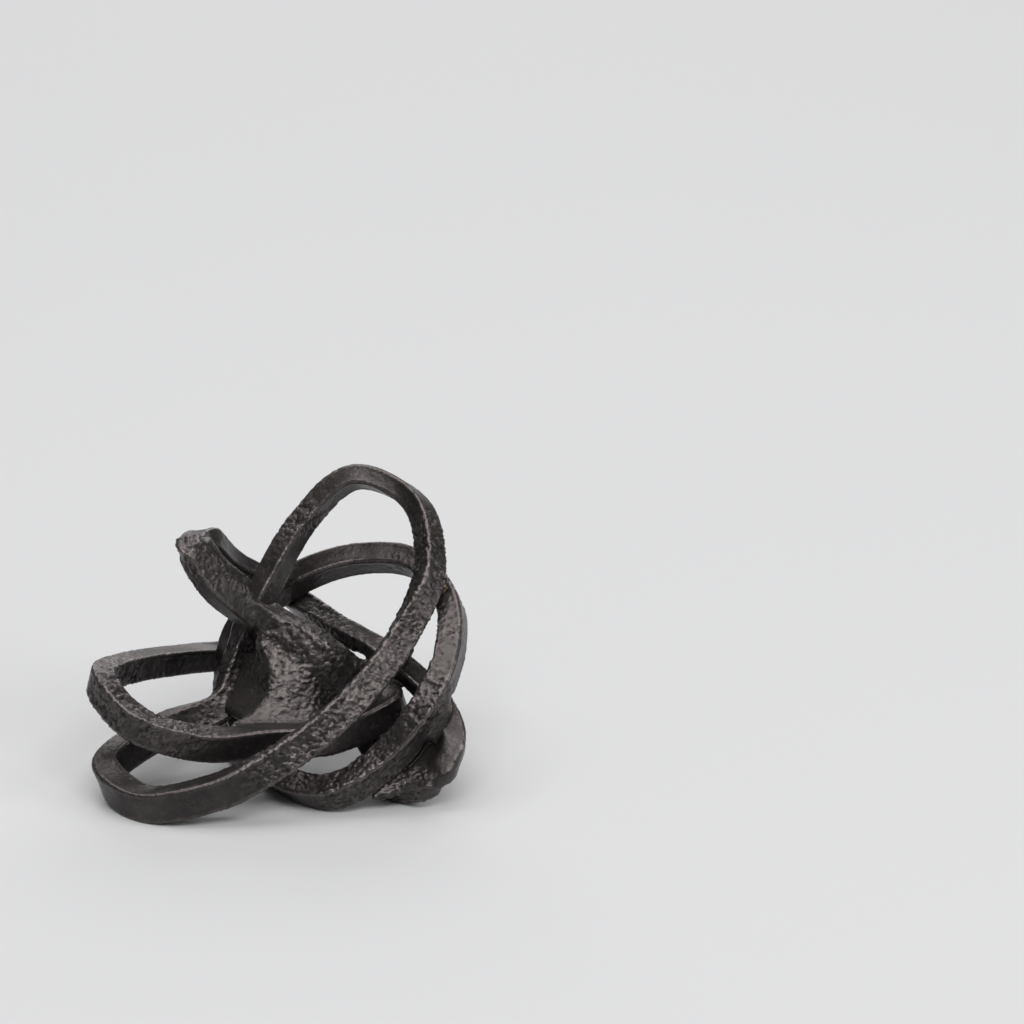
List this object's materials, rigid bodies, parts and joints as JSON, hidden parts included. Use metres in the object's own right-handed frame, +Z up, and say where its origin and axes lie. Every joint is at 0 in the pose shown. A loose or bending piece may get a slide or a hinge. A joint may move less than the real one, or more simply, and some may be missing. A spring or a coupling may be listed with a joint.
{
  "type": "metal knot sculpture",
  "caption": "Abstract table sculpture: closed rings of square cast bar that thread through one another, joined by hammered webs and brass braze beads.",
  "frame": {"origin": "on the table, under the middle of the sculpture's outline", "axes": "+X to the viewer's right, +Y away from the viewer, +Z up"},
  "size_m": [0.1946, 0.1481, 0.149],
  "materials": {
    "cast_metal": "dark warm brown-black cast metal, satin, hammered and pitted, lighter on worn edges",
    "braze": "dull yellow braze, left rough"
  },
  "bodies": {
    "root": {"bead_high_back": "braze", "bead_high_low": "braze", "bead_high_slant": "braze", "bead_slant_back": "braze", "ring_back": "cast_metal", "ring_high": "cast_metal", "ring_low": "cast_metal", "ring_slant": "cast_metal", "web_corner": "cast_metal", "web_foot": "cast_metal", "web_front": "cast_metal", "web_left": "cast_metal"}
  },
  "joints": []
}
